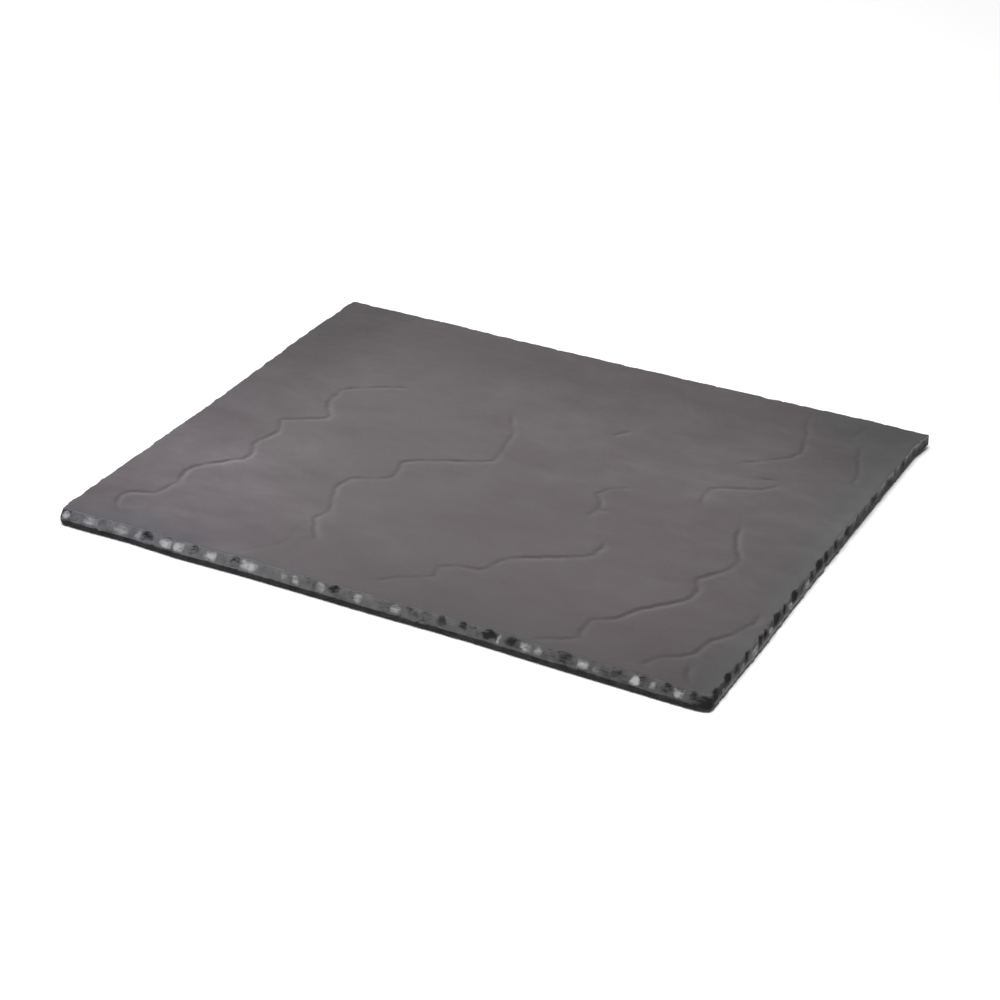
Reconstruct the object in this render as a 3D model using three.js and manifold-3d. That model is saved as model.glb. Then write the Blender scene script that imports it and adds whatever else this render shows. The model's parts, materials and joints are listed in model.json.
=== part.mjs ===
// Slate serving board: a riven slab with dressed edges, standing on four stick-on rubber feet.
// Millimetres, +Z up. The origin is on the table under the middle of the board,
// +X runs along the long side and +Y towards the back long side.
import * as THREE from 'three';
import { mergeVertices } from 'three/addons/utils/BufferGeometryUtils.js';
import Module from 'manifold-3d';

const wasm = await Module();
wasm.setup();

// Slab, measured at the widest line of its edge
const SLAB_LENGTH = 325;
const SLAB_WIDTH = 265;
const SLAB_THICKNESS = 6.5;
const CORNER_RADIUS = 5;

// Edge section from below: a plain undercut, an upright band and a chipped bevel, wider along the front
const UNDERCUT_HEIGHT = 1;
const UNDERCUT_INSET = 0.45;
const BAND_HEIGHT = 1.9;
const FRONT_BEVEL_INSET = 3.3;
const BEVEL_INSET = 1.4;

// Chips knocked off the upper arris, side by side along each straight side
const CHIP_PITCH = 12;
const CHIP_DEPTH_MIN = 0.2;
const CHIP_DEPTH_MAX = 1.2;

// Cleavage steps: thin layers of stone left standing on the serving face
const STEP_HEIGHT = 0.25;
const STEP_FEATHER = 25;
const STEP_EDGE_GAP = 0.6;

// Feet: thin rubber pads, each on a disc of adhesive
const FOOT_DIAMETER = 11;
const FOOT_CONTACT_DIAMETER = 10.4;
const FOOT_EDGE_RADIUS = 0.3;
const FOOT_HEIGHT = 1;
const FOOT_EDGE_DISTANCE = 28;
const ADHESIVE_DIAMETER = 10;
const ADHESIVE_THICKNESS = 0.2;

// Shape of the chips: how far in the bevel's middle lies, and how chip depths vary along a side
const BEVEL_HOLLOW = 0.62;
const CHIP_SPREAD = 0.618;
const CHIP_SIDE_SHIFT = 0.37;
// A step sinks just below the face where it ends, so that it fades out there
const STEP_FADE = 0.1;

// Fineness of the round and chipped stretches
const CORNER_SEGMENTS = 6;
const CHIP_SEGMENTS = 4;
const FOOT_SEGMENTS = 32;
const FOOT_EDGE_SEGMENTS = 3;

// Heights above the table
const SLAB_UNDERSIDE = FOOT_HEIGHT + ADHESIVE_THICKNESS;

// Cleavage lines in percent of the slab's length and width, from its front left corner.
// Each runs from front to back, with the high side on its left.
const CLEAVAGE_LINES = [
  [[5, 10], [9, 14], [9, 23], [15, 32], [13, 38], [13, 48], [19, 52], [16, 57], [16, 64], [25, 71]],
  [[33, 9], [33, 23], [31, 30], [31, 34], [36, 38], [35, 44], [46, 52], [47, 56], [46, 62], [42, 69]],
  [[48, 6], [55, 12], [54, 15], [60, 18], [62, 23], [72, 30], [71, 36]],
  [[74, 3], [79, 6], [78, 12], [83, 15], [83, 19], [88, 24], [86, 32], [89, 36], [90, 40], [86, 52]],
  [[88, 4], [89, 7], [94, 11], [94, 16], [97, 23], [97, 27]],
  [[79, 55], [78, 58], [78, 62], [87, 69], [80, 74], [85, 79], [85, 82], [82, 97]],
  [[95, 74], [95, 80], [93, 89]],
  [[90, 91], [91, 94], [91, 97]],
  [[66, 42], [67, 46], [64, 50], [68, 55]],
  [[66, 85], [64, 89], [62, 93]],
];

const slate = new THREE.MeshStandardMaterial({ color: 0x6c6769, roughness: 0.6, metalness: 0 });
const rubber = new THREE.MeshStandardMaterial({ color: 0x1c1c1d, roughness: 0.75, metalness: 0 });
const adhesive = new THREE.MeshStandardMaterial({ color: 0xd8d6cf, roughness: 0.5, metalness: 0 });

// Closed body through sections of equal point counts. Each section runs anticlockwise
// as seen from the section after it, and capTriangles fill the first and the last one.
function loft(sections, capTriangles) {
  const count = sections[0].length;
  const lastStart = (sections.length - 1) * count;
  const positions = sections.flat().flatMap((point) => point.toArray());
  const indices = [];
  for (let start = 0; start < lastStart; start += count) {
    for (let i = 0; i < count; i += 1) {
      const next = (i + 1) % count;
      indices.push(start + i, start + next, start + count + next);
      indices.push(start + i, start + count + next, start + count + i);
    }
  }
  for (const [a, b, c] of capTriangles) {
    indices.push(c, b, a);
    indices.push(lastStart + a, lastStart + b, lastStart + c);
  }
  const geometry = new THREE.BufferGeometry();
  geometry.setAttribute('position', new THREE.Float32BufferAttribute(positions, 3));
  geometry.setIndex(indices);
  return geometry;
}

function toSolid(geometry) {
  const welded = mergeVertices(geometry);
  const vertProperties = Float32Array.from(welded.getAttribute('position').array);
  const triVerts = Uint32Array.from(welded.getIndex().array);
  return new wasm.Manifold(new wasm.Mesh({ numProp: 3, vertProperties, triVerts }));
}

function toGeometry(solid) {
  const mesh = solid.getMesh();
  const geometry = new THREE.BufferGeometry();
  geometry.setAttribute('position', new THREE.BufferAttribute(mesh.vertProperties, 3));
  geometry.setIndex(new THREE.BufferAttribute(mesh.triVerts, 1));
  geometry.computeVertexNormals();
  return geometry;
}

// Depth of one chip, spread evenly between the smallest and the largest without repeating
function chipDepth(side, chip) {
  const share = ((chip + 1) * CHIP_SPREAD + side * CHIP_SIDE_SHIFT) % 1;
  return THREE.MathUtils.lerp(CHIP_DEPTH_MIN, CHIP_DEPTH_MAX, share);
}

// Outline of the slab, anticlockwise from the front left corner, drawn in by one inset along the front
// and another along the other sides. The chips bite into its straight sides by the given share of their depth.
function slabOutline(frontInset, inset, chipShare) {
  const radius = Math.max(CORNER_RADIUS - Math.min(frontInset, inset), 0);
  const side = SLAB_LENGTH / 2 - inset - radius;
  const front = SLAB_WIDTH / 2 - frontInset - radius;
  const back = SLAB_WIDTH / 2 - inset - radius;
  const arcCentres = [[-side, -front], [side, -front], [side, back], [-side, back]].map(
    ([x, y]) => new THREE.Vector2(x, y),
  );
  const points = [];
  arcCentres.forEach((centre, corner) => {
    const nextCentre = arcCentres[(corner + 1) % arcCentres.length];
    const outward = new THREE.Vector2(0, -1).rotateAround(new THREE.Vector2(), corner * Math.PI / 2);
    for (let i = 1; i < CORNER_SEGMENTS; i += 1) {
      const turn = (i / CORNER_SEGMENTS - 1) * Math.PI / 2;
      const spoke = outward.clone().rotateAround(new THREE.Vector2(), turn);
      points.push(centre.clone().addScaledVector(spoke, radius));
    }
    const sideLength = corner % 2 === 0 ? SLAB_LENGTH : SLAB_WIDTH;
    const chips = Math.max(Math.round((sideLength - 2 * CORNER_RADIUS) / CHIP_PITCH), 1);
    for (let i = 0; i <= chips * CHIP_SEGMENTS; i += 1) {
      const along = i / CHIP_SEGMENTS;
      const depth = chipDepth(corner, Math.floor(along)) * Math.abs(Math.sin(along * Math.PI));
      const point = centre.clone().lerp(nextCentre, along / chips);
      points.push(point.addScaledVector(outward, radius - depth * chipShare));
    }
  });
  return points;
}

function atHeight(outline, height) {
  return outline.map((point) => new THREE.Vector3(point.x, point.y, height));
}

// One cleavage layer: full height at its line, thinning out to nothing on its left
function cleavageStep(line) {
  const sections = line.map(([x, y], i) => {
    const isEnd = i === 0 || i === line.length - 1;
    const cliff = (x / 100 - 0.5) * SLAB_LENGTH;
    const along = (y / 100 - 0.5) * SLAB_WIDTH;
    const feather = cliff - STEP_FEATHER;
    const top = SLAB_THICKNESS + (isEnd ? -STEP_FADE : STEP_HEIGHT);
    const root = SLAB_THICKNESS / 2;
    return [
      new THREE.Vector3(feather, along, root),
      new THREE.Vector3(feather, along, SLAB_THICKNESS - STEP_FADE),
      new THREE.Vector3(cliff, along, top),
      new THREE.Vector3(cliff, along, root),
    ];
  });
  return toSolid(loft(sections, [[0, 1, 2], [0, 2, 3]]));
}

function slabGeometry() {
  const bandTop = UNDERCUT_HEIGHT + BAND_HEIGHT;
  const bevelMiddle = THREE.MathUtils.lerp(bandTop, SLAB_THICKNESS, 0.5);
  const widest = slabOutline(0, 0, 0);
  const hollow = slabOutline(FRONT_BEVEL_INSET * BEVEL_HOLLOW, BEVEL_INSET * BEVEL_HOLLOW, BEVEL_HOLLOW);
  const face = slabOutline(FRONT_BEVEL_INSET, BEVEL_INSET, 1);
  const capTriangles = THREE.ShapeUtils.triangulateShape(face, []);
  const body = toSolid(loft([
    atHeight(slabOutline(UNDERCUT_INSET, UNDERCUT_INSET, 0), 0),
    atHeight(widest, UNDERCUT_HEIGHT),
    atHeight(widest, bandTop),
    atHeight(hollow, bevelMiddle),
    atHeight(face, SLAB_THICKNESS),
  ], capTriangles));

  // The layers stop short of the chipped arris all round
  const stepOutline = slabOutline(FRONT_BEVEL_INSET + STEP_EDGE_GAP, BEVEL_INSET + STEP_EDGE_GAP, 1);
  const stepLimit = toSolid(loft([
    atHeight(stepOutline, 0),
    atHeight(stepOutline, SLAB_THICKNESS + 2 * STEP_HEIGHT),
  ], THREE.ShapeUtils.triangulateShape(stepOutline, [])));
  const stepped = CLEAVAGE_LINES.reduce(
    (solid, line) => solid.add(cleavageStep(line).intersect(stepLimit)),
    body,
  );
  return toGeometry(stepped);
}

// Tapered pad with a flat tread and a rounded lower edge
function footGeometry() {
  const treadRadius = FOOT_CONTACT_DIAMETER / 2 - FOOT_EDGE_RADIUS;
  const profile = [new THREE.Vector2(0, 0)];
  for (let i = 0; i <= FOOT_EDGE_SEGMENTS; i += 1) {
    const turn = (i / FOOT_EDGE_SEGMENTS) * Math.PI / 2;
    const radius = treadRadius + FOOT_EDGE_RADIUS * Math.sin(turn);
    profile.push(new THREE.Vector2(radius, FOOT_EDGE_RADIUS * (1 - Math.cos(turn))));
  }
  profile.push(new THREE.Vector2(FOOT_DIAMETER / 2, FOOT_HEIGHT));
  profile.push(new THREE.Vector2(0, FOOT_HEIGHT));
  return new THREE.LatheGeometry(profile, FOOT_SEGMENTS).rotateX(Math.PI / 2);
}

function adhesiveGeometry() {
  const radius = ADHESIVE_DIAMETER / 2;
  const disc = new THREE.CylinderGeometry(radius, radius, ADHESIVE_THICKNESS, FOOT_SEGMENTS);
  return disc.rotateX(Math.PI / 2).translate(0, 0, ADHESIVE_THICKNESS / 2);
}

function named(name, geometry, material, height) {
  const mesh = new THREE.Mesh(geometry, material);
  mesh.name = name;
  mesh.position.z = height;
  return mesh;
}

// One stick-on foot under a corner of the slab
function footAssembly(place, xSign, ySign) {
  const assembly = new THREE.Group();
  assembly.position.x = xSign * (SLAB_LENGTH / 2 - FOOT_EDGE_DISTANCE);
  assembly.position.y = ySign * (SLAB_WIDTH / 2 - FOOT_EDGE_DISTANCE);
  assembly.add(named(`foot_${place}`, footGeometry(), rubber, 0));
  assembly.add(named(`adhesive_${place}`, adhesiveGeometry(), adhesive, FOOT_HEIGHT));
  return assembly;
}

const board = new THREE.Group();
board.add(named('slate_slab', slabGeometry(), slate, SLAB_UNDERSIDE));
board.add(footAssembly('front_left', -1, -1));
board.add(footAssembly('front_right', 1, -1));
board.add(footAssembly('back_left', -1, 1));
board.add(footAssembly('back_right', 1, 1));

export default board;
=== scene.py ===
"""Slate serving board: the looks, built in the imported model's own frame.

Shapes are worked out in millimetres and turned into metres when a mesh is made.
"""
import json
import math
import random
from collections import namedtuple

import bmesh
import bpy
import numpy as np
from mathutils import Matrix, Vector, noise
from mathutils.geometry import delaunay_2d_cdt
from mathutils.kdtree import KDTree


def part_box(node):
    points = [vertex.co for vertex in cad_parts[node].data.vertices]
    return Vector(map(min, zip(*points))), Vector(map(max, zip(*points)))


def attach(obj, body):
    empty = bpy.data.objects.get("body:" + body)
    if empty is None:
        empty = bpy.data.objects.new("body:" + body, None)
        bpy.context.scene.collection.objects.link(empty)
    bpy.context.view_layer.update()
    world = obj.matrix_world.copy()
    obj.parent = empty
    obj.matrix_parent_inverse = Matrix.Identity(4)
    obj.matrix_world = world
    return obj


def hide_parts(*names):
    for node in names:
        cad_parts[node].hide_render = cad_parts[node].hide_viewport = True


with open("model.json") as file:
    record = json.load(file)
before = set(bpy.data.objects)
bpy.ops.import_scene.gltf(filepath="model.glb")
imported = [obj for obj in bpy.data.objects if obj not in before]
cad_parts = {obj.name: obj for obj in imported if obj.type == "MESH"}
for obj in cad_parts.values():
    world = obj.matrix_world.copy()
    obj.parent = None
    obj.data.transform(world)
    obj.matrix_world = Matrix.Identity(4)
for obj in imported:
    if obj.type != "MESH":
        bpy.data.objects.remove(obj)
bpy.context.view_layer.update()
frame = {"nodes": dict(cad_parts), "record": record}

MM = 0.001
FRONT, RIGHT, BACK, LEFT = range(4)


def node_box(node):
    """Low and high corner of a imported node's box, in millimetres."""
    return [np.array(corner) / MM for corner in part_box(node)]


# Slab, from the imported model
slab_low, slab_high = node_box("slate_slab")
serving_face = next(m for m in frame["record"]["mounts"] if m["name"] == "serving_face")
HALF_LENGTH, HALF_WIDTH = slab_high[:2]
UNDERSIDE_Z = slab_low[2]
THICKNESS = serving_face["pos_m"][2] / MM - UNDERSIDE_Z
# Corners: front right, back right, back left, front left
CORNER_RADII = (6.5, 1.5, 4.5, 4.5)

# Edge section, as heights above the underside and insets from the widest line
UNDERCUT_HEIGHT = 0.5
UNDERCUT_INSET = 0.3
FLANGE_LOW = 0.3
FLANGE_HIGH = 1.2
BAND_HEIGHT = 2.2
ARRIS_DROP = 0.12
ARRIS_ROUND = 0.25
# Width of the plain rim of the serving face and of the underside, next to the edge
FACE_RIM = 1.0
UNDERSIDE_RIM = 1.5
# Mesh of the edge: levels from the underside to the arris, and step round the outline
EDGE_LEVELS = 18
OUTLINE_STEP = 0.55
# Rough edge: fraying of the chips, share by which the bevel's width wanders, thin layers, grain,
# and the inset that keeps it all inside the outline
CHIP_FRAY = 1.0
BEVEL_WANDER = 0.35
LAYER_PITCH = 0.9
LAYER_RELIEF = 0.05
EDGE_GRAIN = 0.12
EDGE_MARGIN = 0.08
SLAB_SHARP_ANGLE = 23
# Side, percent of its length, width of the chipped bevel and of the flange below it
EDGE_SECTION = (
    (FRONT, 1, 2.2, 0), (FRONT, 5, 3.3, 0), (FRONT, 96, 3.3, 0), (FRONT, 99, 1.6, 0.2),
    (RIGHT, 4, 0.1, 1.0), (RIGHT, 42, 0.1, 0.9), (RIGHT, 62, 0.1, 0.2), (RIGHT, 97, 0.1, 0),
    (BACK, 2, 0.1, 0), (BACK, 12, 0.2, 0), (BACK, 25, 1.0, 0), (BACK, 97, 1.0, 0),
    (LEFT, 3, 1.0, 0), (LEFT, 96, 1.0, 0),
)
# Side, percent of its length, and how far in the hand-cut outline lies there
OUTLINE_WANDER = (
    (FRONT, 5, 0.6), (FRONT, 12, 1.2), (FRONT, 20, 0.3), (FRONT, 30, 1.2), (FRONT, 50, 1.1),
    (FRONT, 65, 1.6), (FRONT, 75, 0.7), (FRONT, 92, 0), (FRONT, 96, 0), (FRONT, 97.5, 0.2), (FRONT, 99, 1.1),
    (RIGHT, 2, 3.0), (RIGHT, 6, 2.6), (RIGHT, 20, 2.2), (RIGHT, 60, 2.8), (RIGHT, 80, 2.5), (RIGHT, 94, 2.1),
    (RIGHT, 99, 0.1),
    (BACK, 10, 0), (BACK, 20, 0.9), (BACK, 40, 1.6), (BACK, 65, 2.1), (BACK, 82, 1.0), (BACK, 97, 1.4),
    (LEFT, 4, 0.7), (LEFT, 20, 0), (LEFT, 40, 1.0), (LEFT, 55, 1.3), (LEFT, 80, 0.6), (LEFT, 96, 0.2),
)

# Cleavage steps: height, run of the cliff, how far the high side feathers out, fade at a line's ends
STEP_HEIGHT = 0.11
STEP_RUN = 1.0
STEP_FEATHER = 32.0
STEP_FADE = 5.0
# Low side of a step: depth of its groove as a share of the height, its width, and the worn lip beyond it
GROOVE_SHARE = 0.8
GROOVE_WIDTH = 3.2
LIP_CREST = 2.6
LIP_END = 4.8
# Width over which the painted shade along a step's cliff fades out
SEAM_FADE = 0.8
# Course of a step: spacing of its points, and the share of each stretch that a corner's rounding takes
LINE_SPACING = 1.3
CORNER_CUT = 0.1
# Distances from a line at which the face has points of its own, positive on the low side
BESIDE_LINE = (-1.4, STEP_RUN / 2, STEP_RUN + 0.9, STEP_RUN + 2, STEP_RUN + 3.2)

# Faces: waves of the riven stone, the back right corner's drop and its reach, and spacing of the points
RIVEN_DEPTH = 0.1
CORNER_DIP = 0.5
CORNER_DIP_REACH = 80
FACE_SPACING = 2.2
UNDERSIDE_SPACING = 4.0
UNDERSIDE_RELIEF = 0.25
GRID_MARGIN = 3

# Feet: rounding of the lower edge, taper of the side, and segments round a foot
FOOT_ROUND = 0.35
FOOT_TAPER = 0.3
FOOT_SEGMENTS = 64
FOOT_SHARP_ANGLE = 35
# Dished tread as shares of its radius and heights, and the upper edge as insets and drops
FOOT_DISH = ((0.35, 0.2), (0.6, 0.17), (0.8, 0.04), (0.86, 0))
FOOT_TOP = ((0.1, 0.25), (0, 0.1), (0.06, 0))

# Cleavage lines: strength, then places in percent of the trimmed length and of the width from the front
# left corner, front to back, with the high side on the left
LENGTH_TRIM = 2.2
TRIMMED_SIDES = (2 * HALF_LENGTH - LENGTH_TRIM, 2 * HALF_WIDTH)
CLEAVAGE_LINES = (
    (1, (8, 4.5), (5.9, 6.9), (5.2, 10), (6.1, 12.2), (9.2, 13.6), (10, 17.7), (9.2, 23), (10.5, 26.4),
     (15.1, 32.1), (13, 37.7), (14.5, 41.9), (12.6, 47.8), (16.6, 50.6), (18.8, 52.5), (16.1, 56.6),
     (15.4, 62.3), (16.1, 64.5), (20.3, 67.9), (24.6, 70.7)),
    (0.25, (27, 1.8), (32.7, 9.4), (32.1, 13.6), (32.6, 18.5)),
    (0.9, (36.2, 12.6), (34.5, 15.4), (32.7, 18.3), (33.5, 22.6), (30.6, 30.2), (31.1, 34.3), (36.3, 37.7),
     (35.4, 44.5), (39.4, 47.4), (46.5, 51.7), (46.6, 55.5), (45.7, 61.9), (44, 66), (42.5, 69.4)),
    (0.6, (48, 5.7), (51.1, 9.1), (55.1, 12.1)),
    (0.9, (53.8, 11.1), (55.1, 12.1), (54, 14.6), (56.3, 17), (60, 17.7), (61.5, 23.2), (71.6, 30.4),
     (71.2, 36)),
    (1, (73.1, 2.5), (78.8, 6.3), (78.5, 8.7), (78.2, 12.1), (81.5, 15), (82.5, 18.3), (87.6, 25.3),
     (87.6, 28.7), (86.2, 31.7), (88.6, 35.5), (89.6, 40.4), (86.8, 47.2), (85.8, 51.7)),
    (0.8, (88.4, 3.8), (89.4, 7.2), (93.5, 10.6), (94, 15.5), (96, 18.9), (97.2, 23), (97.5, 26.8)),
    (0.7, (79.1, 54.7), (77.8, 57.7), (78.2, 61.9), (84.6, 65.3), (86.6, 68.7)),
    (0.7, (83.1, 68.6), (85.6, 70.1)),
    (0.7, (78.5, 73), (80.3, 74.3), (84.6, 78.9), (85.5, 81.9), (84, 88.7), (82.8, 92.8), (82.2, 97)),
    (0.6, (95.4, 74.3), (95.1, 79.6), (93.2, 84.9), (92.6, 89.4)),
    (0.3, (90.3, 90.9), (91.1, 97.4)),
    (1.0, (65.7, 41.5), (66.6, 46), (64.2, 50), (65.2, 52.5), (68.4, 55.3)),
    (0.8, (66.5, 44.9), (68.6, 46.3)),
    (0.3, (66.2, 84.9), (64.3, 88.7), (62.5, 92.8)),
    (0.9, (58.8, 70.9), (60.6, 75.1)),
    (1.2, (95.8, 1.9), (95.2, 3.4), (94.3, 5.9), (93.6, 7.7)),
)

# Pale bruising on the front edge's bevel, partly real and partly painted highlights: percent of the edge from
# the left, half width, strength
FRONT_BRUISES_AND_GLINTS = (
    (1.2, 2.2, 0.8), (5.6, 3.6, 0.6), (10.6, 3.6, 0.5), (13.4, 1.4, 0.6), (18.1, 2.8, 1), (20.2, 1.8, 1),
    (25.3, 2.6, 0.9), (31.2, 3.8, 0.8), (36.8, 1.6, 0.5), (38.7, 1.6, 0.6), (42.7, 2.2, 0.6),
    (48.4, 1.7, 0.65), (54.1, 2.8, 0.5), (69.1, 1.2, 0.6), (73.2, 2.6, 0.6), (74.9, 2.0, 0.4),
    (81.3, 2.2, 0.6), (83.1, 1.6, 0.4), (88.7, 1.8, 1), (91.2, 1.6, 0.4), (94.6, 1.8, 0.65),
)
# Notches in the front edge's arris, darkened with painted shade: percent of the edge from the left, half
# width, strength
FRONT_NOTCHES = (
    (14.9, 3.2, 0.75), (22.6, 2.4, 0.4), (29.1, 2.6, 0.45), (40.3, 1.8, 0.4), (44.7, 3.2, 0.75),
    (55.9, 2.2, 0.4), (60.8, 2.2, 0.7), (63.9, 2.2, 0.6), (67.9, 3.6, 1), (71.1, 3.2, 0.9),
    (78.8, 5.0, 0.55), (86.1, 2.6, 0.6), (89.8, 1.8, 0.5), (93.1, 2.6, 0.7), (96.7, 1.8, 0.7),
)
# Notches darkened with painted shade, pale bruising, and painted shade round the front right corner on the
# right edge, in percent from the front
RIGHT_NOTCHES = (
    (3, 3.3, 0.8), (7.6, 3.3, 1), (11, 2.4, 0.7), (15, 2.2, 0.8), (20.6, 2.2, 0.9), (22.6, 2, 0.9),
    (27.6, 4, 1), (31, 2.2, 0.9), (35.6, 4.2, 1), (39, 1.8, 0.6), (43, 2.6, 0.7), (46.6, 4.2, 1),
    (50, 3.2, 0.9), (54.3, 2.8, 0.8), (60, 5.2, 0.8), (64.5, 2.4, 0.6), (67.6, 2.6, 0.6), (72.6, 4, 0.7),
    (80, 3, 0.5), (88, 2.6, 0.7), (93, 3, 0.5),
)
# Pale bruising on the right edge's flange, partly real and partly painted highlights
RIGHT_BRUISES_AND_GLINTS = (
    (6.3, 2.4, 0.4), (13.5, 2.4, 0.5), (18.4, 2.8, 1), (25.2, 2.4, 0.9), (33.9, 2.2, 0.85),
    (41.4, 2.8, 0.75),
)
CORNER_SHADE_SPOTS = ((0, 7, 1), (2.5, 6, 0.9))
# How much wider than its half width a pale bruised spot or a spot of painted shade spreads
SPOT_SPREAD = 1.4
# Number of the smallest chips, and seed of all scattered ones
SMALL_CHIPS = 130
CHIP_SEED = 11

# Camera: its aim on the table, its distance, its angles, and its focal length in pixels of the frame
CAMERA_AIM = (3.7, -14.6, 0.0)
CAMERA_DISTANCE = 1119.0
CAMERA_PITCH = 29.12
CAMERA_YAW = 27.00
CAMERA_ROLL = 0.88
FOCAL_PIXELS = 2406
FRAME_PIXELS = 1000
SENSOR_WIDTH = 36.0

# Soft boxes aimed at the board, in metres and watts: name, place, size, power
LIGHTS = (
    ("top", (0, -0.52, 1.93), (1.2, 1.2), 48),
    ("sheen left", (-1.22, 1.02, 0.85), (0.8, 0.6), 4.6),
    ("sheen right", (-0.54, 1.49, 0.85), (0.8, 0.6), 2.5),
)
WORLD_STRENGTH = 0.14
FLOOR_REACH = 6000.0

# Colours
WHITE = (1, 1, 1, 1)
WARM_GREY = (0.061, 0.0485, 0.053, 1)
VIOLET_GREY = (0.066, 0.0485, 0.06, 1)
NEUTRAL_GREY = (0.0525, 0.0515, 0.0515, 1)
BLUE_GREY = (0.0545, 0.0505, 0.063, 1)
COOL_TINT = (0.98, 0.975, 1.07, 1)
WARM_TINT = (1.01, 0.985, 0.99, 1)
# Black of the painted shade in the edge's hollows
HOLLOW_SHADE_BLACK = (0.01, 0.01, 0.01, 1)
# Grey of the pale bruising, partly real and partly painted highlight
BRUISE_AND_GLINT_GREY = (0.34, 0.34, 0.345, 1)
RUBBER_BLACK = (0.012, 0.012, 0.013, 1)
FOAM_LIGHT = (0.7, 0.68, 0.62, 1)
FOAM_DARK = (0.58, 0.56, 0.5, 1)

Chip = namedtuple("Chip", "centre half_width depth foot power")
Step = namedtuple("Step", "points heights")


def smooth_ramp(value, start, end):
    """0 before start, 1 after end and a smooth rise between them."""
    share = np.clip((value - start) / (end - start), 0, 1)
    return share * share * (3 - 2 * share)


def ripple(points, size, seed):
    """Smooth noise of about -1 to 1 at 3D points, with features of the given size."""
    shift = np.array((17.3, 5.1, 2.7)) * seed
    places = np.asarray(points, float) / size + shift
    flat = [noise.fractal(place, 1.0, 2.0, 3) for place in places.reshape(-1, 3)]
    return np.array(flat).reshape(places.shape[:-1])


def flat_ripple(points, size, seed, level=0.0):
    """Smooth noise at 2D points, read at one level."""
    return ripple(np.column_stack([points, np.full(len(points), level)]), size, seed)


def from_sides(points):
    """Distances of 2D points from the slab's front, right, back and left sides."""
    x, y = points[:, 0], points[:, 1]
    return HALF_WIDTH + y, HALF_LENGTH - x, HALF_WIDTH - y, HALF_LENGTH + x


# Outline

WHOLE_SIDES = (2 * HALF_LENGTH, 2 * HALF_WIDTH) * 2
STRAIGHTS = [WHOLE_SIDES[side] - CORNER_RADII[side - 1] - CORNER_RADII[side] for side in range(4)]
CORNER_ARCS = [math.pi / 2 * radius for radius in CORNER_RADII]
PERIMETER = sum(STRAIGHTS) + sum(CORNER_ARCS)


def side_start(side):
    """Distance round the outline at which a side's straight stretch starts."""
    return sum(STRAIGHTS[:side]) + sum(CORNER_ARCS[:side])


def along_side(side, percent):
    """Distance round the outline of a place given in percent of a whole side, corners included."""
    return side_start(side) + WHOLE_SIDES[side] * percent / 100 - CORNER_RADII[side - 1]


def outline_point(distance):
    """Point and outward normal of the outline at a distance round it from the front left corner."""
    corners = ((1, -1), (1, 1), (-1, 1), (-1, -1))
    for side in range(4):
        turn = side * math.pi / 2
        start = side_start(side)
        straight = STRAIGHTS[side]
        if distance > start + straight + CORNER_ARCS[side]:
            continue
        radius = CORNER_RADII[side]
        centre = np.array(corners[side]) * (HALF_LENGTH - radius, HALF_WIDTH - radius)
        back = max(start + straight - distance, 0)
        bend = max(distance - start - straight, 0) / radius
        normal = np.array((math.sin(turn + bend), -math.cos(turn + bend)))
        forward = np.array((math.cos(turn), math.sin(turn)))
        return centre - forward * back + normal * radius, normal
    raise ValueError(f"{distance} is past the end of the outline")


# Cleavage steps

def jagged(line, seed):
    """A cleavage line in millimetres, with its corners rounded and its course frayed a little."""
    corners = np.array(line) / 100 * TRIMMED_SIDES - (HALF_LENGTH, HALF_WIDTH)
    starts, ends = corners[:-1], corners[1:]
    near, far = 1 - CORNER_CUT, CORNER_CUT
    inner = np.stack([near * starts + far * ends, far * starts + near * ends], axis=1).reshape(-1, 2)
    corners = np.vstack([corners[:1], inner[1:-1], corners[-1:]])
    pieces = []
    for start, end in zip(corners[:-1], corners[1:]):
        count = max(int(np.linalg.norm(end - start) / LINE_SPACING), 1)
        pieces += [start + (end - start) * i / count for i in range(count)]
    points = np.array(pieces + [corners[-1]])
    points[:, 0] += 0.9 * flat_ripple(points, 5.0, seed) + 0.4 * flat_ripple(points, 1.8, seed + 0.5)
    return points


def nearest(points, line):
    """Arc position of the spot nearest each point on a front to back line, and the distance to it.

    The distance is negative on the left of the line.
    """
    starts, ends = line[:-1], line[1:]
    runs = ends - starts
    lengths = np.linalg.norm(runs, axis=1)
    offsets = points[:, None] - starts[None]
    share = np.clip((offsets * runs).sum(2) / lengths ** 2, 0, 1)
    gaps = np.linalg.norm(offsets - share[..., None] * runs, axis=2)
    best = gaps.argmin(1)
    rows = np.arange(len(points))
    arc = np.concatenate([[0], np.cumsum(lengths)])[best] + share[rows, best] * lengths[best]
    line_x = np.interp(points[:, 1], line[:, 1], line[:, 0])
    return arc, np.where(points[:, 0] < line_x, -1, 1) * gaps[rows, best]


def crest_and_gap(points, step):
    """Height of a cleavage step beside each point, and how far to the low side of it the point lies."""
    arc, gap = nearest(points, step.points)
    arcs = np.append(0, np.cumsum(np.linalg.norm(np.diff(step.points, axis=0), axis=1)))
    length = arcs[-1]
    fade = min(STEP_FADE, length / 3)
    crest = np.interp(arc, arcs, step.heights) * smooth_ramp(np.minimum(arc, length - arc), 0, fade)
    return crest, gap


def step_relief(points, step):
    """Height that one cleavage step adds at each point."""
    crest, gap = crest_and_gap(points, step)
    groove = -GROOVE_SHARE * crest
    plateau = crest * (1 - smooth_ramp(-gap, 0, STEP_FEATHER))
    cliff = crest + (groove - crest) * smooth_ramp(gap, 0, STEP_RUN)
    low_side = cliff * (1 - smooth_ramp(gap, STEP_RUN, STEP_RUN + GROOVE_WIDTH))
    return np.where(gap < 0, plateau, low_side)


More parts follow.
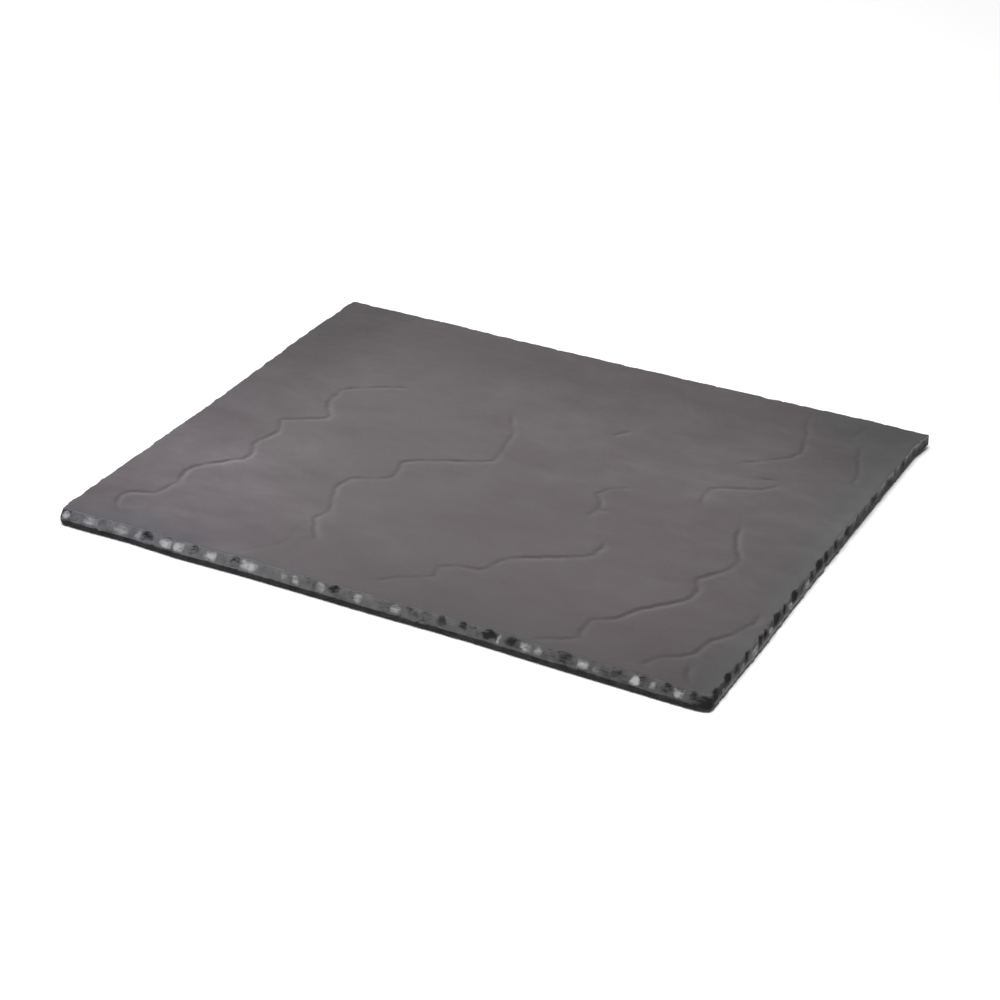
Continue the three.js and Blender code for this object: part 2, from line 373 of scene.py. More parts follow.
def lip_and_seam_shade_share(points):
    """Where each point lies beside the cleavage steps: down to -1 in painted shade along the cliff, up to 1
    on a worn lip.
    """
    share = np.zeros(len(points))
    for step in STEPS:
        crest, gap = crest_and_gap(points, step)
        lip = smooth_ramp(gap, STEP_RUN, LIP_CREST) * (1 - smooth_ramp(gap, LIP_CREST, LIP_END))
        seam = 1 - smooth_ramp(np.abs(gap - STEP_RUN / 2), STEP_RUN / 2, STEP_RUN / 2 + SEAM_FADE)
        mark = (lip - seam) * crest / STEP_HEIGHT
        share = np.where(np.abs(mark) > np.abs(share), mark, share)
    return share


def uneven_step(strength, line, seed):
    """A cleavage step whose height comes and goes along its line."""
    points = jagged(line, seed)
    heights = np.clip(0.95 + 0.8 * flat_ripple(points, 9.0, seed + 20), 0.4, 1.35)
    return Step(points, STEP_HEIGHT * strength * heights)


STEPS = [uneven_step(strength, line, seed) for seed, (strength, *line) in enumerate(CLEAVAGE_LINES)]


def face_height(points):
    """Height of the serving face above the underside at 2D points."""
    waves = flat_ripple(points, 70.0, 3) + 0.1 * flat_ripple(points, 16.0, 4)
    height = THICKNESS + RIVEN_DEPTH * waves
    for step in STEPS:
        height += step_relief(points, step)
    _, from_right, from_back, _ = from_sides(points)
    from_corner = np.hypot(from_right, 0.7 * from_back)
    return height - CORNER_DIP * (1 - smooth_ramp(from_corner, 0, CORNER_DIP_REACH))


# Edge

def read_between(rows, around):
    """Values of a table of places on the outline, read between those places at distances round it."""
    places = [along_side(side, percent) for side, percent, *_ in rows]
    columns = zip(*(values for _, _, *values in rows))
    return [np.interp(around, places, column, period=PERIMETER) for column in columns]


def cut(centre, half_width, extra, foot, power):
    """A chip that goes further in at the top than the edge's own bevel there."""
    return Chip(centre, half_width, sum(read_between(EDGE_SECTION, centre)) + extra, foot, power)


def placed_chips(draw):
    """Chips of the front and right edges that have a place of their own."""
    chips = []
    for percent, half_width, _ in FRONT_BRUISES_AND_GLINTS:
        chips.append(cut(along_side(FRONT, percent), 2 * half_width, draw.uniform(0.2, 0.7),
                         draw.uniform(2.4, 3), draw.uniform(0.9, 1.2)))
    for percent, half_width, strength in FRONT_NOTCHES:
        chips.append(cut(along_side(FRONT, percent), 1.5 * half_width, 0.3 + 0.8 * strength,
                         draw.uniform(3.6, 4.2), draw.uniform(0.25, 0.4)))
    for percent, half_width, strength in RIGHT_NOTCHES:
        chips.append(cut(along_side(RIGHT, percent), 1.4 * half_width, 1.3 * strength ** 3,
                         draw.uniform(1.7, 2.4), draw.uniform(0.3, 0.6)))
    return chips


def scattered_chips(draw):
    """Chips of all sizes round the whole edge."""
    chips = []
    distance = 0
    while distance < PERIMETER:
        width = draw.uniform(4, 9)
        reach = 0.4 if side_start(RIGHT) <= distance < side_start(BACK) else 0.8
        chips.append(cut(distance, width, reach * draw.uniform(0, 1), draw.uniform(2, 3.2),
                         draw.uniform(0.9, 1.4)))
        distance += width * draw.uniform(0.9, 1.7)
    for _ in range(SMALL_CHIPS):
        width = draw.uniform(1, 2.2)
        chips.append(cut(draw.uniform(0, PERIMETER), width, draw.uniform(0.2, 0.8), draw.uniform(3.2, 4.6),
                         draw.uniform(0.9, 1.5)))
    return chips


def lower_chips(draw):
    """Scallops struck from below along the right edge, shallower elsewhere."""
    chips = []
    distance = 0
    while distance < PERIMETER:
        on_right = side_start(RIGHT) <= distance <= side_start(BACK)
        width = draw.uniform(4, 9)
        depth = draw.uniform(0.2, 0.8) if on_right else draw.uniform(0, 0.2)
        chips.append(Chip(distance, width, depth + UNDERCUT_INSET, draw.uniform(0.6, 1.1), 0.8))
        distance += width * draw.uniform(1.1, 1.8)
    return chips


def across(centre, half_width, around):
    """1 at a centre on the outline, falling to 0 at the half width and outside it."""
    offset = (around - centre + PERIMETER / 2) % PERIMETER - PERIMETER / 2
    return np.clip(1 - (offset / half_width) ** 2, 0, 1)


def edge_insets(around, heights, places):
    """Inset of the edge at each height and distance round it, and its bruising and painted light and shade
    there.
    """
    draw = random.Random(CHIP_SEED)
    bevel, flange = read_between(EDGE_SECTION, around)
    bevel = bevel * (1 + BEVEL_WANDER * ripple(places[-1], 7.0, 15))
    wander, = read_between(OUTLINE_WANDER, around)
    inset = UNDERCUT_INSET * np.clip(1 - heights / UNDERCUT_HEIGHT, 0, 1) ** 1.5
    inset = inset + flange * smooth_ramp(heights, FLANGE_LOW, FLANGE_HIGH)
    inset = inset + bevel * np.clip((heights - BAND_HEIGHT) / (THICKNESS - BAND_HEIGHT), 0, 1)
    around = around + CHIP_FRAY * ripple(places, 3.5, 12)
    heights = heights + CHIP_FRAY / 2 * ripple(places, 2.5, 13)
    for chip in placed_chips(draw) + scattered_chips(draw):
        rise = np.clip((heights - chip.foot) / (THICKNESS - chip.foot), 0, 1) ** chip.power
        inset = np.maximum(inset, chip.depth * rise * across(chip.centre, chip.half_width, around))
    for chip in lower_chips(draw):
        drop = np.clip(1 - heights / chip.foot, 0, 1) ** chip.power
        inset = np.maximum(inset, chip.depth * drop * across(chip.centre, chip.half_width, around))
    return inset + wander, bruises_and_painted_light(around, heights)


def bruises_and_painted_light(around, heights):
    """Pale bruising and painted light and shade on the edge at each height and distance round it: 1 for pale
    bruising that is partly a painted highlight, -1 for painted shade in a hollow.
    """
    bruise_and_painted_light = np.zeros_like(around + heights)
    # Side, sign, spots, and the heights between which the spots lie
    for side, sign, spots, low, high in (
        (FRONT, -1, FRONT_NOTCHES, 2.7, 6.5),
        (RIGHT, -1, RIGHT_NOTCHES, 1.0, 7.2),
        (RIGHT, -1, CORNER_SHADE_SPOTS, -1.0, 6.6),
        (FRONT, 1, FRONT_BRUISES_AND_GLINTS, 2.4, 6.1),
        (RIGHT, 1, RIGHT_BRUISES_AND_GLINTS, 0.0, 4.6),
    ):
        for percent, half_width, strength in spots:
            up = np.clip(1 - ((heights - (low + high) / 2) / (high - low) * 2) ** 2, 0, 1)
            beside = across(along_side(side, percent), SPOT_SPREAD * half_width, around)
            spot = sign * strength * up * beside
            bruise_and_painted_light = np.where(abs(spot) > abs(bruise_and_painted_light), spot, bruise_and_painted_light)
    return bruise_and_painted_light


# Meshes

def loop_faces(first, second):
    """Quads between two loops of vertex numbers."""
    count = len(first)
    return [(first[i], first[(i + 1) % count], second[(i + 1) % count], second[i]) for i in range(count)]


def grid_points(spacing, seed):
    """Points spread evenly, with some jitter, over the slab's middle."""
    draw = np.random.default_rng(seed)
    xs = np.arange(-HALF_LENGTH + GRID_MARGIN, HALF_LENGTH - GRID_MARGIN, spacing)
    ys = np.arange(-HALF_WIDTH + GRID_MARGIN, HALF_WIDTH - GRID_MARGIN, spacing)
    grid = np.stack(np.meshgrid(xs, ys), axis=-1).reshape(-1, 2)
    return grid + draw.uniform(-0.25, 0.25, grid.shape) * spacing


def inside(points, loop, normals, margin):
    """The points that lie further than a margin inside a loop with the given outward normals."""
    tree = KDTree(len(loop))
    for i, place in enumerate(loop):
        tree.insert((*place, 0), i)
    tree.balance()
    found = [tree.find((*point, 0))[1] for point in points]
    return points[((loop[found] - points) * normals[found]).sum(1) > margin]


def fill_loop(loop, inner, creases):
    """Triangles inside a closed loop through inner points and along creases.

    Gives the triangles' points, the triangles, and for each point its number in the loop or None.
    """
    count = len(loop)
    points = [Vector(point) for point in np.vstack([loop, inner])]
    edges = [(i, (i + 1) % count) for i in range(count)]
    edges += [(count + a, count + b) for a, b in creases]
    only_inside = 1
    places, _, faces, sources, _, _ = delaunay_2d_cdt(points, edges, [], only_inside, 1e-5, True)
    in_loop = [next((source for source in found if source < count), None) for found in sources]

    def bridges_notch(face):
        numbers = [in_loop[i] for i in face]
        if None in numbers:
            return False
        pairs = zip(numbers, numbers[1:] + numbers[:1])
        return sum((second - first) % count for first, second in pairs) > count

    return np.array(places), [face for face in faces if not bridges_notch(face)], in_loop


def crease_lines():
    """Both lips of every cleavage step, and loose points over the groove beside them."""
    lips, loose = [], []
    for line, _ in STEPS:
        tangents = np.gradient(line, axis=0)
        normals = np.column_stack([tangents[:, 1], -tangents[:, 0]])
        normals /= np.linalg.norm(normals, axis=1)[:, None]
        low_lip = line + normals * STEP_RUN
        # In tight bends, the low lip's points that come too near the line are left out
        _, gap = nearest(low_lip, line)
        lips += [line, low_lip[np.abs(gap) > 0.85 * STEP_RUN]]
        loose += [line + normals * offset for offset in BESIDE_LINE]
    return lips, np.vstack(loose)


def clear_of_steps(points, gap):
    """The points that lie further than gap from both lips of every cleavage step."""
    keep = np.ones(len(points), bool)
    for line, _ in STEPS:
        _, distance = nearest(points, line)
        keep &= np.abs(distance - STEP_RUN / 2) > gap + STEP_RUN / 2
    return points[keep]


def make_object(name, points, faces, material):
    """A mesh object from points in millimetres above the table."""
    mesh = bpy.data.meshes.new(name)
    mesh.from_pydata([tuple(point) for point in np.asarray(points) * MM], [], faces)
    mesh.validate()
    mesh.materials.append(material)
    piece = bpy.data.objects.new(name, mesh)
    bpy.context.scene.collection.objects.link(piece)
    return piece


def shade(piece, sharp_angle):
    """Smooth shading, broken along edges sharper than the angle."""
    work = bmesh.new()
    work.from_mesh(piece.data)
    for face in work.faces:
        face.smooth = True
    for edge in work.edges:
        edge.smooth = edge.calc_face_angle(0) < math.radians(sharp_angle)
    work.to_mesh(piece.data)
    work.free()


def add_attribute(piece, name, values):
    layer = piece.data.attributes.new(name, "FLOAT", "POINT")
    layer.data.foreach_set("value", np.asarray(values, np.float32))


# Slab

def underside_relief(points):
    """Hollows of the riven underside, none at the rim or where the feet are stuck on."""
    depth = smooth_ramp(np.min(from_sides(points), axis=0), 4, 16)
    for node in frame["nodes"]:
        if node.startswith("adhesive"):
            low, high = node_box(node)
            radius = (high - low)[0] / 2
            reach = np.linalg.norm(points - ((low + high) / 2)[:2], axis=1)
            depth *= smooth_ramp(reach, radius + 1, radius + 9)
    waves = flat_ripple(points, 45.0, 8, 40.0) + 0.4 * flat_ripple(points, 12.0, 9, 40.0)
    return UNDERSIDE_RELIEF * depth * np.clip(0.5 + 0.5 * waves, 0, 1)


def rim_shade_share(points):
    """How much painted shade darkens the face, and how much rougher it gets, towards its rim: most at the
    back left, little on the right.
    """
    from_front, from_right, from_back, from_left = from_sides(points)
    back = 0.6 * (1 - smooth_ramp(from_back, 0, 95))
    left = (0.35 + 0.4 * smooth_ramp(from_front, 70, 190)) * (1 - smooth_ramp(from_left, 3, 65))
    front = 0.35 * (1 - smooth_ramp(from_front, 4, 60))
    right = 0.2 * smooth_ramp(from_right, 4, 14) * (1 - smooth_ramp(from_right, 25, 70))
    return np.clip(back + left + front + right, 0, 1)


def neutral_share(points):
    """1 where the stone is neutral grey: a ragged strip along the right and front, wide at the back right."""
    from_front, from_right, from_back, _ = from_sides(points)
    x = points[:, 0]
    ragged = 9 * flat_ripple(points, 30.0, 14)
    narrower = 7 * (1 - smooth_ramp(from_front, 105, 150))
    right = 1 - smooth_ramp(from_right + ragged + narrower, 8, 32)
    reach = 30 - 14 * smooth_ramp(x, -110, -60)
    front = (0.8 - 0.6 * smooth_ramp(x, 70, 120)) * (1 - smooth_ramp(from_front + ragged, 2, reach))
    corner = 1 - smooth_ramp(np.hypot(from_right, from_back) + ragged, 30, 65)
    return np.max([right, front, corner], axis=0)


def edge_loops():
    """Loops of points up the edge, from the underside's rim to the serving face's.

    Gives the loops, the edge's bruising and painted light and shade at their points, and the outward normals
    of the outline.
    """
    count = round(PERIMETER / OUTLINE_STEP)
    around = np.arange(count) * PERIMETER / count
    base, normals = (np.array(column) for column in zip(*map(outline_point, around)))

    heights = np.append(np.linspace(0, THICKNESS - ARRIS_DROP, EDGE_LEVELS), THICKNESS)[:, None]
    level_rings = np.broadcast_to(base, (len(heights), count, 2))
    inset, bruise_and_painted_light = edge_insets(around, heights, np.dstack([level_rings, heights + 0 * around]))
    rough_at = np.dstack([base[None] - normals * inset[..., None], heights + 0 * inset])
    layers = np.sin(2 * math.pi * (heights / LAYER_PITCH + 0.7 * ripple(rough_at, 14.0, 5)))
    rough = LAYER_RELIEF * layers + EDGE_GRAIN * ripple(rough_at, 1.6, 6)
    inset = np.maximum(inset + rough + EDGE_MARGIN, 0)

    def ring(ring_inset):
        return base - normals * ring_inset[:, None]

    face_scale = face_height(ring(inset[-1])) / THICKNESS
    arris = inset[-1] + ARRIS_ROUND
    plain = np.zeros(count)
    rows = [(inset[0] + UNDERSIDE_RIM, plain, plain)]
    rows += [(inset[level], heights[level, 0] * face_scale, bruise_and_painted_light[level]) for level in range(EDGE_LEVELS)]
    rows += [(reach, face_height(ring(reach)), plain) for reach in (arris, arris + FACE_RIM)]
    loops = [np.column_stack([ring(ring_inset), height]) for ring_inset, height, _ in rows]
    return loops, np.concatenate([marks for _, _, marks in rows]), normals


def face_points(rim, normals):
    """Points of the serving face inside its rim, and pairs of their numbers along the creases."""
    lips, loose = crease_lines()
    creases, kept = [], []
    for lip in lips:
        lip = inside(lip, rim, normals, 0.6)
        start = sum(len(part) for part in kept)
        creases += [(start + i, start + i + 1) for i in range(len(lip) - 1)]
        kept.append(lip)
    spread = grid_points(FACE_SPACING, seed=21)
    scatter = np.vstack([clear_of_steps(loose, 0.6), clear_of_steps(spread, 0.9)])
    kept.append(inside(scatter, rim, normals, 1))
    return np.vstack(kept), creases


def add_cap(points, faces, loop, inner, creases, height_at):
    """Fill a loop of point numbers with triangles that face up, which are added to the faces.

    Gives all the points, with the new ones at the end.
    """
    places, triangles, in_loop = fill_loop(points[loop, :2], inner, creases)
    fresh = [i for i, source in enumerate(in_loop) if source is None]
    where = {i: loop[source] for i, source in enumerate(in_loop) if source is not None}
    where.update({i: len(points) + k for k, i in enumerate(fresh)})
    faces += [tuple(where[i] for i in triangle) for triangle in triangles]
    return np.vstack([points, np.column_stack([places[fresh], height_at(places[fresh])])])


def build_slab(face_material, edge_material):
    loops, marks, normals = edge_loops()
    points = np.vstack(loops)
    numbers = np.arange(len(points)).reshape(len(loops), -1)
    faces = [quad for first, second in zip(numbers[:-1], numbers[1:]) for quad in loop_faces(first, second)]
    # The first band of quads belongs to the underside and the last to the serving face
    band = np.arange(len(faces)) // len(normals)
    on_edge = (band > 0) & (band <= EDGE_LEVELS)

    top, creases = face_points(loops[-1][:, :2], normals)
    points = add_cap(points, faces, numbers[-1], top, creases, face_height)
    below = inside(grid_points(UNDERSIDE_SPACING, seed=22), loops[0][:, :2], normals, 1)
    downward = []
    points = add_cap(points, downward, numbers[0], below, [], underside_relief)
    faces += [tuple(reversed(face)) for face in downward]

    on_face = points[:, 2] > THICKNESS / 2
    points[:, 2] += UNDERSIDE_Z
    slab = make_object("slab", points, faces, face_material)
    slab.data.materials.append(edge_material)
    on_edge = np.append(on_edge, np.zeros(len(faces) - len(on_edge), bool))
    slab.data.polygons.foreach_set("material_index", on_edge.astype(np.int32))
    shade(slab, SLAB_SHARP_ANGLE)
    flat = points[:, :2]
    # Pale bruising that is partly painted highlight, and painted shade in the edge's hollows
    add_attribute(slab, "bruise_and_painted_light", np.append(marks, np.zeros(len(points) - len(marks))))
    # Painted shade that darkens the face towards its rim, where it is also rougher
    add_attribute(slab, "rim", rim_shade_share(flat))
    add_attribute(slab, "neutral", neutral_share(flat))
    # Painted shade in the seams along the cleavage steps, and the worn lips beside them
    add_attribute(slab, "lip", on_face * lip_and_seam_shade_share(flat))
    return slab


# Feet

def lathe(name, profile, centre, material):
    """A turned piece about a vertical axis, from a closed profile of radius and height."""
    points, faces = [], []
    for radius, height in profile:
        for k in range(FOOT_SEGMENTS):
            turn = 2 * math.pi * k / FOOT_SEGMENTS
            points.append((centre[0] + radius * math.cos(turn), centre[1] + radius * math.sin(turn), height))
    numbers = np.arange(len(points)).reshape(-1, FOOT_SEGMENTS)
    for first, second in zip(numbers[:-1], numbers[1:]):
        faces += loop_faces(first, second)
    faces.append(tuple(reversed(numbers[0])))
    faces.append(tuple(numbers[-1]))
    piece = make_object(name, points, faces, material)
    shade(piece, FOOT_SHARP_ANGLE)
    return piece


def foot_profile(radius, low, high):
    """Pad with a dished tread, a rounded lower edge and a tapered side."""
    tread = radius - FOOT_ROUND - FOOT_TAPER
    profile = [(tread * share, low + rise) for share, rise in FOOT_DISH]
    for i in range(7):
        turn = i / 6 * math.pi / 2
        profile.append((tread + FOOT_ROUND * math.sin(turn), low + FOOT_ROUND * (1 - math.cos(turn))))
    return profile + [(radius - inset, high - drop) for inset, drop in FOOT_TOP]


def adhesive_profile(radius, low, high):
    """Disc of foam tape with a slightly hollow side."""
    middle = (low + high) / 2
    return [(radius - 0.06, low), (radius, low + 0.04), (radius - 0.05, middle), (radius, high - 0.04),
            (radius - 0.06, high)]


def build_feet(rubber, adhesive):
    """Feet and adhesive discs, each with the node it replaces and its material slot."""
    pieces = []
    for kind, profile, slot, material in (
        ("foot", foot_profile, "rubber", rubber),
        ("adhesive", adhesive_profile, "adhesive", adhesive),
    ):
        for node in sorted(frame["nodes"]):
            if node.startswith(kind + "_"):
                low, high = node_box(node)
                outline = profile((high[0] - low[0]) / 2, low[2], high[2])
                piece = lathe(node.replace(kind, kind + "_shown"), outline, (low + high) / 2, material)
                pieces.append((piece, node, slot))
    return pieces


# Materials

class Nodes:
    """Short forms for a material's node tree."""

    def __init__(self, name):
        self.material = bpy.data.materials.new(name)
        self.material.use_nodes = True
        self.tree = self.material.node_tree
        self.shader = self.tree.nodes["Principled BSDF"]
        self.place = self.add("ShaderNodeTexCoord").outputs["Object"]

    def add(self, kind, **settings):
        node = self.tree.nodes.new(kind)
        for key, value in settings.items():
            setattr(node, key, value)
        return node

    def feed(self, value, socket):
        """Link an output to a socket, or set a plain value on it."""
        if hasattr(value, "links"):
            self.tree.links.new(value, socket)
        else:
            socket.default_value = value

    def surface(self, name, value):
        """Feed one of the shader's own sockets."""
        self.feed(value, self.shader.inputs[name])

    def noise(self, size, detail=4.0, roughness=0.55, stretch=(1, 1, 1)):
        """Noise with features of a size in millimetres."""
        mapping = self.add("ShaderNodeMapping")
        self.feed(self.place, mapping.inputs["Vector"])
        mapping.inputs["Scale"].default_value = stretch
        texture = self.add("ShaderNodeTexNoise")
        self.feed(mapping.outputs["Vector"], texture.inputs["Vector"])
        texture.inputs["Scale"].default_value = 1 / (size * MM)
        texture.inputs["Detail"].default_value = detail
        texture.inputs["Roughness"].default_value = roughness
        return texture.outputs["Fac"]

    def remap(self, value, low, high, to_low, to_high):
        node = self.add("ShaderNodeMapRange", clamp=True)
        for socket, item in zip(("Value", "From Min", "From Max", "To Min", "To Max"),
                                (value, low, high, to_low, to_high)):
            self.feed(item, node.inputs[socket])
        return node.outputs["Result"]

    def spread(self, texture, low, high):
        """Noise stretched to run from low to high."""
        return self.remap(texture, 0.3, 0.7, low, high)

    def math(self, operation, *values):
        node = self.add("ShaderNodeMath", operation=operation)
        for value, socket in zip(values, node.inputs):
            self.feed(value, socket)
        return node.outputs["Value"]

    def mix(self, share, first, second, blend="MIX"):
        node = self.add("ShaderNodeMix", data_type="RGBA", blend_type=blend)
        self.feed(share, node.inputs["Factor"])
        self.feed(first, node.inputs["A"])
        self.feed(second, node.inputs["B"])
        return node.outputs["Result"]

    def place_along(self, x, y, z=0):
        """Place along a direction, in metres from the frame's origin."""
        node = self.add("ShaderNodeVectorMath", operation="DOT_PRODUCT")
        self.feed(self.place, node.inputs[0])
        node.inputs[1].default_value = (x, y, z)
        return node.outputs["Value"]

    def upward(self):
        """How far up the surface faces: 1 for level, 0 for upright."""
        parts = self.add("ShaderNodeSeparateXYZ")
        self.feed(self.add("ShaderNodeTexCoord").outputs["Normal"], parts.inputs["Vector"])
        return parts.outputs["Z"]

    def attribute(self, name):
        return self.add("ShaderNodeAttribute", attribute_name=name).outputs["Fac"]

    def bump(self, height, depth, base=None):
        """Bump of a depth in millimetres."""
        node = self.add("ShaderNodeBump")
        node.inputs["Distance"].default_value = depth * MM
        self.feed(height, node.inputs["Height"])
        if base is not None:
            self.feed(base, node.inputs["Normal"])
        return node.outputs["Normal"]

    def grey(self, value):
        """A grey colour from a number."""
        node = self.add("ShaderNodeCombineColor")
        for channel in ("Red", "Green", "Blue"):
            self.feed(value, node.inputs[channel])
        return node.outputs["Color"]


def slate_face_material():
    """Riven face: warm grey, violet at the left, neutral or bluish in places along the rim, darkened by
    painted shade towards the rim and along the cleavage seams.
    """
    nodes = Nodes("slate face")
    streaks = nodes.noise(16, 5, 0.75, (0.5, 1, 1))
    grain = nodes.noise(0.9, 3, 0.7)
    blotched = nodes.math("MULTIPLY_ADD", nodes.noise(45, 3), 0.16, nodes.place_along(1, 0.6))
    violet = nodes.remap(blotched, -0.08, -0.035, 1, 0)
    colour = nodes.mix(violet, WARM_GREY, VIOLET_GREY)
    neutral = nodes.mix(violet, NEUTRAL_GREY, BLUE_GREY)
    colour = nodes.mix(nodes.attribute("neutral"), colour, neutral)
    rim = nodes.attribute("rim")
    lip = nodes.attribute("lip")
    # Painted shade: darker towards the rim, most at the back left, and in the seams along the cleavage steps
    shadow = nodes.math("MULTIPLY", nodes.remap(rim, 0, 1, 1, 0.6), nodes.remap(lip, -1, 0, 0.84, 1))
    mottle = nodes.math("MULTIPLY", nodes.spread(streaks, 0.95, 1.05), shadow)
    tone = nodes.math("MULTIPLY", mottle, nodes.spread(grain, 0.9, 1.1))
    nodes.surface("Base Color", nodes.mix(1.0, colour, nodes.grey(tone), "MULTIPLY"))
    rough = nodes.math("ADD", nodes.remap(rim, 0, 1, 0.41, 0.54), nodes.spread(streaks, -0.08, 0.08))
    rough = nodes.math("MULTIPLY_ADD", nodes.math("MAXIMUM", lip, 0), -0.085, rough)
    nodes.surface("Roughness", rough)
    nodes.surface("Specular IOR Level", 0.5)
    relief = nodes.bump(nodes.noise(6, 4, 0.6, (0.6, 1, 1)), 0.02)
    nodes.surface("Normal", nodes.bump(grain, 0.01, relief))
    return nodes.material


def slate_edge_material():
    """Broken edge, painted lighter where it faces up and darker where it is steep, with pale bruising and
    painted shade in hollows.
    """
    nodes = Nodes("slate edge")
    patches = nodes.noise(5, 3, 0.6)
    flakes = nodes.noise(1.9, 4, 0.6, (0.6, 1, 1.4))
    along = nodes.place_along(1, 0)
    up = nodes.place_along(0, 0, 1)
    on_right = nodes.remap(along, 0.153, 0.16, 0, 1)

    # Steep stretches, with painted light on the right that makes them paler low down in the front half and
    # high up in the back half
    steep = nodes.remap(patches, 0.35, 0.65, 0.01, 0.032)
    front_painted_light = nodes.remap(up, 0.0018, 0.0048, 5.5, 3.0)
    back_painted_light = nodes.remap(up, 0.0042, 0.0072, 1.5, 6.5)
    behind = nodes.remap(nodes.place_along(0, 1), -0.01, 0.03, 0, 1)
    change = nodes.math("SUBTRACT", back_painted_light, front_painted_light)
    right_painted_light = nodes.math("MULTIPLY_ADD", behind, change, front_painted_light)
    steep = nodes.math("MULTIPLY", steep, nodes.math("MULTIPLY_ADD", on_right, right_painted_light, 1.0))

    # Stretches that face up, with painted light that makes them lighter at the left, towards the top, and on
    # the flange at the right
    level = nodes.remap(along, -0.12, 0.13, 0.165, 0.095)
    level = nodes.math("MULTIPLY", level, nodes.spread(patches, 0.85, 1.15))
    level = nodes.math("MULTIPLY", level, nodes.remap(up, 0.0055, 0.0075, 1, 1.15))
    level = nodes.math("MULTIPLY_ADD", on_right, nodes.remap(up, 0.003, 0.005, 0.13, 0), level)
    tint = nodes.mix(nodes.remap(along, -0.1, -0.02, 0, 1), COOL_TINT, WARM_TINT)
    level = nodes.mix(1.0, tint, nodes.grey(level), "MULTIPLY")
    # Painted light and shade: stretches that face up take the lighter colour, steep ones the darker
    colour = nodes.mix(nodes.remap(nodes.upward(), 0.25, 0.62, 0, 0.66), nodes.grey(steep), level)

    bruise_and_painted_light = nodes.attribute("bruise_and_painted_light")
    # Painted shade: the edge goes black in its notches and round the front right corner
    hollow = nodes.math("ADD", bruise_and_painted_light, nodes.spread(flakes, -0.2, 0.35))
    colour = nodes.mix(nodes.remap(hollow, -0.7, -0.15, 1, 0), colour, HOLLOW_SHADE_BLACK)
    # Pale bruising, partly real and partly painted highlights standing in for glints
    pale = nodes.math("MULTIPLY", bruise_and_painted_light, nodes.remap(flakes, 0.32, 0.66, 0.4, 1.6))
    colour = nodes.mix(nodes.remap(pale, 0.15, 0.85, 0, 1), colour, BRUISE_AND_GLINT_GREY)
    nodes.surface("Base Color", colour)
    nodes.surface("Roughness", nodes.spread(flakes, 0.75, 0.9))
    nodes.surface("Specular IOR Level", 0.2)
    nodes.surface("Normal", nodes.bump(flakes, 0.05))
    return nodes.material


def rubber_material():
    nodes = Nodes("rubber")
    grain = nodes.noise(0.35, 3, 0.6)
    tone = nodes.grey(nodes.spread(grain, 0.8, 1.25))
    nodes.surface("Base Color", nodes.mix(1.0, RUBBER_BLACK, tone, "MULTIPLY"))
    nodes.surface("Roughness", nodes.spread(nodes.noise(2.5), 0.6, 0.8))
    nodes.surface("Normal", nodes.bump(grain, 0.01))
    return nodes.material


def adhesive_material():
    nodes = Nodes("adhesive")
    cells = nodes.noise(0.25, 3, 0.7)
    nodes.surface("Base Color", nodes.mix(nodes.remap(cells, 0.35, 0.65, 0, 1), FOAM_LIGHT, FOAM_DARK))
    nodes.surface("Roughness", nodes.spread(cells, 0.5, 0.7))
    nodes.surface("Normal", nodes.bump(cells, 0.02))
    return nodes.material


def floor_material():
    """Plain pale floor that glows more into the distance, painted light that keeps the far floor pale."""
    nodes = Nodes("floor")
    nodes.surface("Base Color", nodes.grey(nodes.spread(nodes.noise(300, 2), 0.97, 0.98)))
    away = nodes.add("ShaderNodeVectorMath", operation="LENGTH")
    nodes.feed(nodes.place, away.inputs[0])
    # Painted light: the floor glows, more the further it lies from the origin
    nodes.surface("Emission Color", WHITE)
    nodes.surface("Emission Strength", nodes.remap(away.outputs["Value"], 0.9, 3.5, 0, 1))
    nodes.surface("Roughness", 0.9)
    nodes.surface("Specular IOR Level", 0.1)
    return nodes.material


# Stage

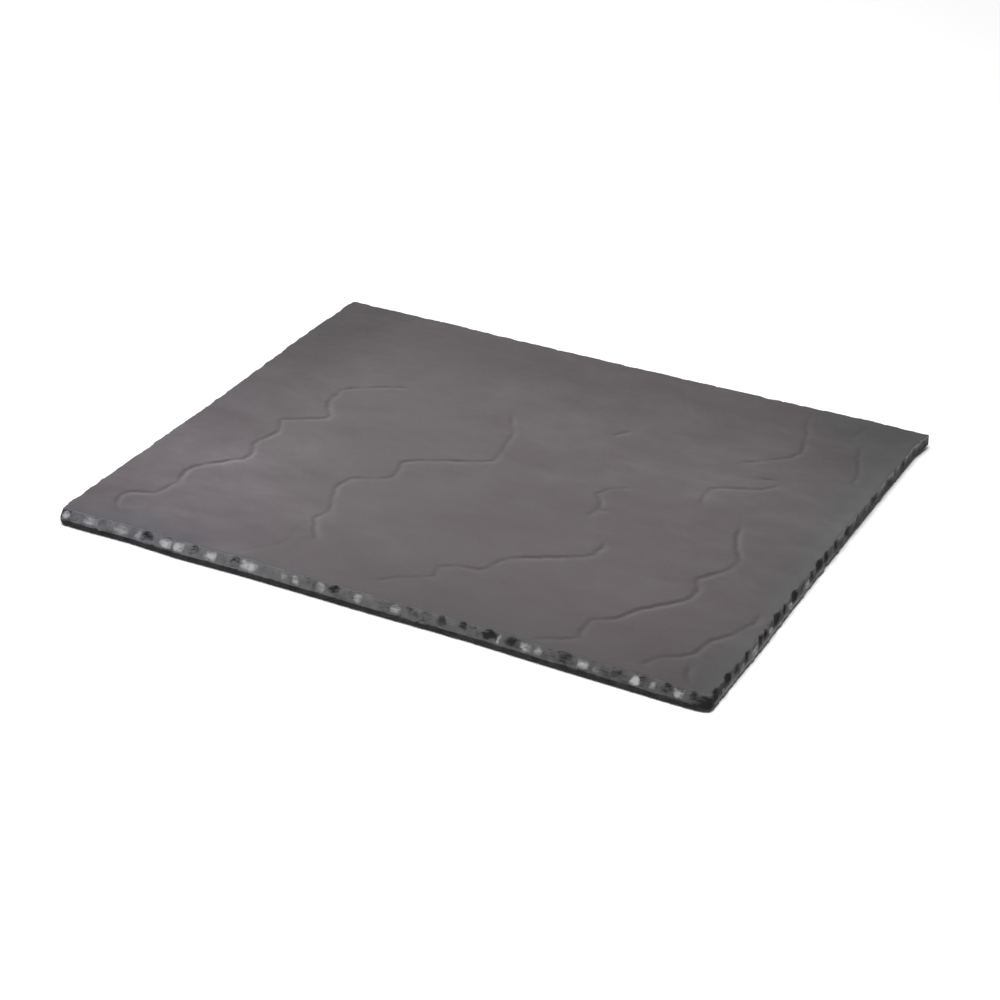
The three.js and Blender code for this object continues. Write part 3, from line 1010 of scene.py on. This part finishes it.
def build_floor():
    reach = FLOOR_REACH
    corners = [(-reach, -reach, 0), (reach, -reach, 0), (reach, reach, 0), (-reach, reach, 0)]
    return make_object("floor", corners, [(0, 1, 2, 3)], floor_material())


def area_light(name, place, size, power):
    """A soft box aimed at the frame's origin."""
    light = bpy.data.lights.new(name, "AREA")
    light.shape = "RECTANGLE"
    light.size, light.size_y = size
    light.energy = power
    lamp = bpy.data.objects.new(name, light)
    lamp.location = place
    lamp.rotation_euler = (-Vector(place)).to_track_quat("-Z", "Y").to_euler()
    bpy.context.scene.collection.objects.link(lamp)


def build_world(strength):
    world = bpy.data.worlds.new("studio")
    world.use_nodes = True
    background = world.node_tree.nodes["Background"]
    background.inputs["Color"].default_value = WHITE
    background.inputs["Strength"].default_value = strength
    bpy.context.scene.world = world


def build_camera():
    pitch, yaw, roll = (math.radians(angle) for angle in (CAMERA_PITCH, CAMERA_YAW, CAMERA_ROLL))
    forward = Vector((-math.sin(yaw) * math.cos(pitch), math.cos(yaw) * math.cos(pitch), -math.sin(pitch)))
    level = Vector((math.cos(yaw), math.sin(yaw), 0))
    upright = level.cross(forward)
    right = math.cos(roll) * level + math.sin(roll) * upright
    up = math.cos(roll) * upright - math.sin(roll) * level
    data = bpy.data.cameras.new("camera")
    data.sensor_width = SENSOR_WIDTH
    data.lens = FOCAL_PIXELS / FRAME_PIXELS * SENSOR_WIDTH
    data.clip_start = 0.01
    camera = bpy.data.objects.new("camera", data)
    turn = Matrix((right, up, -forward)).transposed()
    place = (Vector(CAMERA_AIM) - forward * CAMERA_DISTANCE) * MM
    camera.matrix_world = Matrix.Translation(place) @ turn.to_4x4()
    bpy.context.scene.collection.objects.link(camera)
    bpy.context.scene.camera = camera


build_camera()
build_world(WORLD_STRENGTH)
for light_settings in LIGHTS:
    area_light(*light_settings)
build_floor()
bpy.context.scene.view_settings.view_transform = "Standard"

slab = build_slab(slate_face_material(), slate_edge_material())
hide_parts("slate_slab")
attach(slab, "root")
for piece, node, slot in build_feet(rubber_material(), adhesive_material()):
    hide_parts(node)
    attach(piece, "root")
